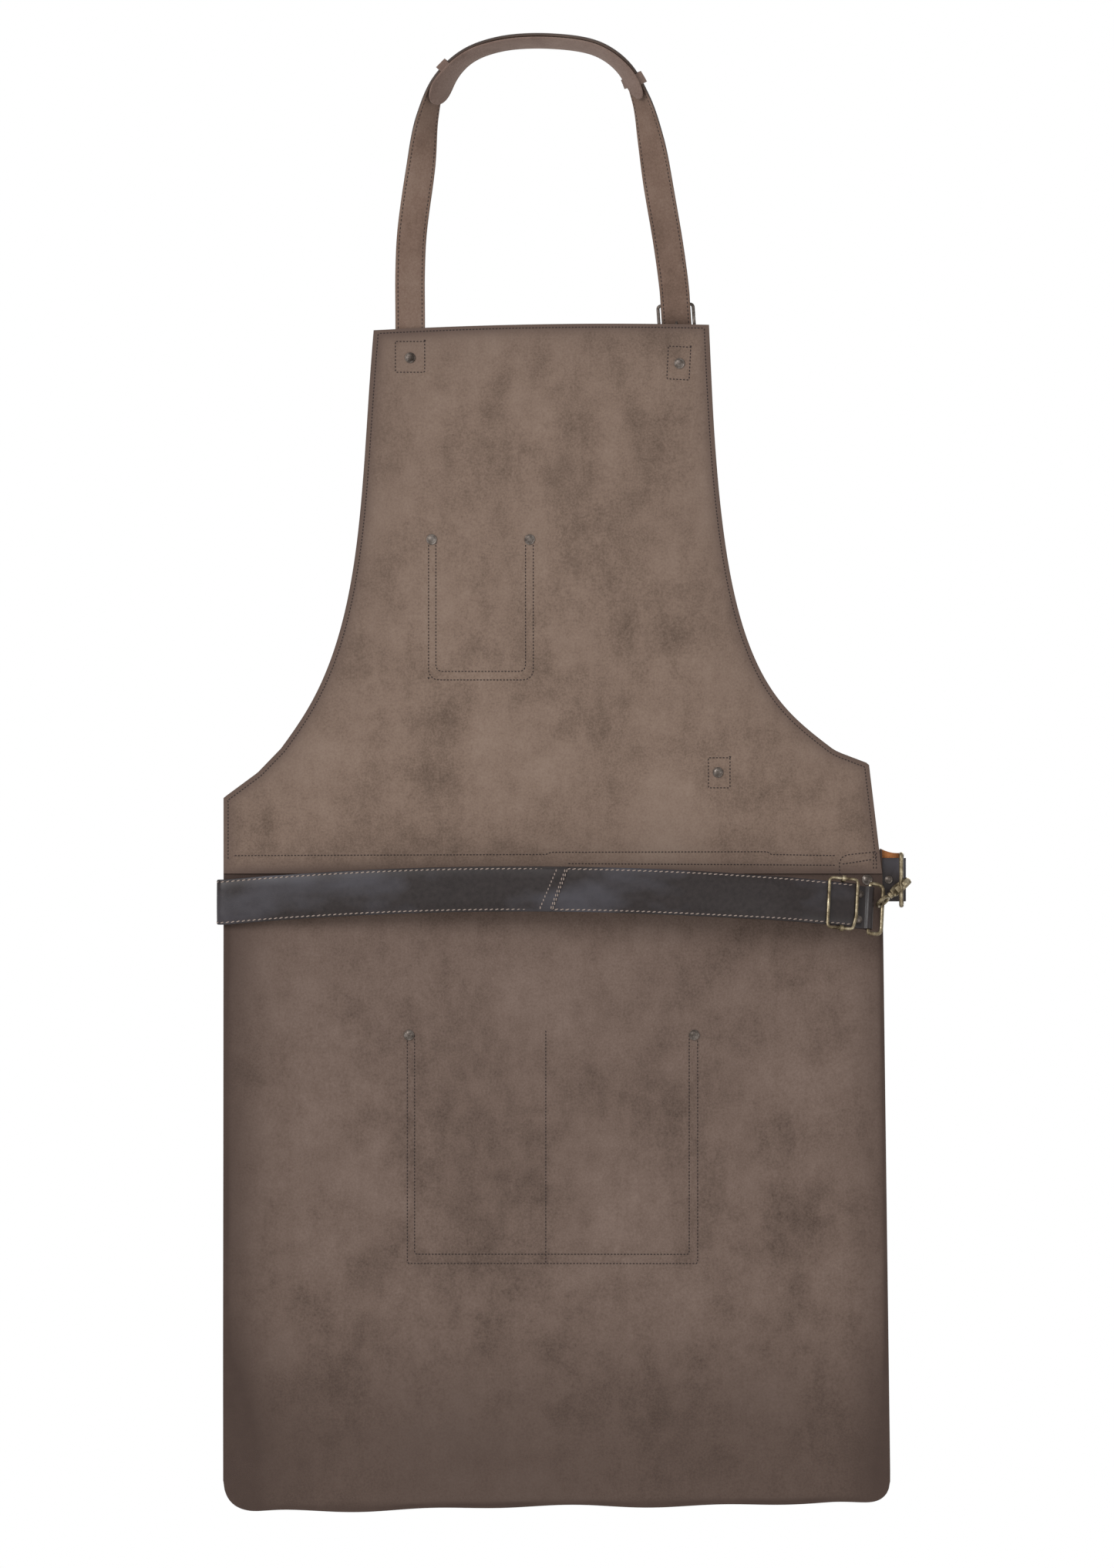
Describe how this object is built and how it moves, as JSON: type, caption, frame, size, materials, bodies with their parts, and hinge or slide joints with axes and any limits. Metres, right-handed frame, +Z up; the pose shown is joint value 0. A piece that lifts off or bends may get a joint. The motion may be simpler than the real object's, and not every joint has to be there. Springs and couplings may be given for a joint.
{
  "type": "welding apron",
  "caption": "Long leather welding apron with bib, skirt, pockets, padded buckled neck strap and a waist belt that clips to a side ring.",
  "frame": {"origin": "inside top of the neck loop, where a hook or the wearer's neck carries the apron", "axes": "+Z up, +Y away from the wearer, X across the wearer, the clipped side at +X"},
  "size_m": [0.632, 0.0618, 1.3408],
  "materials": {
    "suede": "brown suede",
    "dark_suede": "darker brown suede",
    "strap_leather": "matt brown leather",
    "belt_leather": "dark glossy leather",
    "aged_brass": "aged brass"
  },
  "bodies": {
    "apron": {"bib_panel": "suede", "skirt_panel": "dark_suede", "bib_pocket": "suede", "lower_pocket": "dark_suede", "neck_strap": "strap_leather", "neck_pad": "strap_leather", "pad_keeper_left": "strap_leather", "pad_keeper_right": "strap_leather", "buckle_chape": "strap_leather", "tool_tab": "strap_leather", "belt_left": "belt_leather", "belt_right": "belt_leather", "side_tab": "belt_leather", "bib_pocket_rivet_left": "aged_brass", "bib_pocket_rivet_right": "aged_brass", "lower_pocket_rivet_left": "aged_brass", "lower_pocket_rivet_right": "aged_brass", "strap_rivet_left": "aged_brass", "strap_rivet_right": "aged_brass", "belt_anchor_rivet": "aged_brass", "side_tab_rivet_inner": "aged_brass", "side_tab_rivet_outer": "aged_brass", "tool_tab_rivet": "aged_brass"},
    "belt_end": {"slider_frame": "aged_brass", "slider_bar": "aged_brass", "belt_end_loop": "belt_leather", "belt_end_rivet_lower": "aged_brass", "belt_end_rivet_upper": "aged_brass"},
    "end_ring": {"end_ring": "aged_brass"},
    "hook_eye": {"hook_eye": "aged_brass"},
    "snap_hook": {"snap_hook": "aged_brass"},
    "hook_gate": {"hook_gate": "aged_brass"},
    "side_ring": {"side_ring": "aged_brass"},
    "neck_buckle": {"neck_buckle_frame": "aged_brass"},
    "neck_prong": {"neck_buckle_prong": "aged_brass"},
    "buckle_keeper": {"buckle_keeper": "strap_leather"},
    "tool_ring": {"tool_ring": "aged_brass"}
  },
  "joints": [
    {"name": "belt_slack", "type": "slide", "parent": "apron", "child": "belt_end", "axis": [0.9859, 0.1386, -0.0943], "range_m": [-0.001, 0.001]},
    {"name": "end_ring_swing", "type": "hinge", "parent": "belt_end", "child": "end_ring", "pos_m": [0.28829, -0.02135, -0.78112], "axis": [0.0542, 0.269, 0.9616], "range_deg": [-2, 2]},
    {"name": "hook_eye_swing", "type": "hinge", "parent": "end_ring", "child": "hook_eye", "pos_m": [0.30052, -0.01542, -0.77515], "axis": [0.0542, 0.269, 0.9616], "range_deg": [-2, 2]},
    {"name": "hook_swivel", "type": "hinge", "parent": "hook_eye", "child": "snap_hook", "pos_m": [0.3009, -0.01541, -0.77483], "axis": [0.7753, 0.0206, 0.6313], "range_deg": [-5, 5]},
    {"name": "hook_gate_press", "type": "hinge", "parent": "snap_hook", "child": "hook_gate", "pos_m": [0.31373, -0.02217, -0.76439], "axis": [0.6314, 0, -0.7754], "range_deg": [-20, 0], "stiffness_Nm_per_rad": 0.002, "springref_deg": 20.05},
    {"name": "side_ring_swing", "type": "hinge", "parent": "apron", "child": "side_ring", "pos_m": [0.3185, 0.006, -0.7554], "axis": [0, 0, 1], "range_deg": [-2, 2]},
    {"name": "neck_buckle_swing", "type": "hinge", "parent": "apron", "child": "neck_buckle", "pos_m": [0.1145, 0.0037, -0.258], "axis": [0.9976, 0, 0.0698], "range_deg": [-3, 0]},
    {"name": "neck_prong_lift", "type": "hinge", "parent": "neck_buckle", "child": "neck_prong", "pos_m": [0.1145, 0.0037, -0.258], "axis": [0.9976, 0, 0.0698], "range_deg": [-4, 0]},
    {"name": "buckle_keeper_slide", "type": "slide", "parent": "apron", "child": "buckle_keeper", "axis": [0.0698, 0, -0.9976], "range_m": [-0.005, 0.001]},
    {"name": "tool_ring_swing", "type": "hinge", "parent": "apron", "child": "tool_ring", "pos_m": [0.1515, 0.0037, -0.682], "axis": [1, 0, 0], "range_deg": [0, 80]}
  ]
}
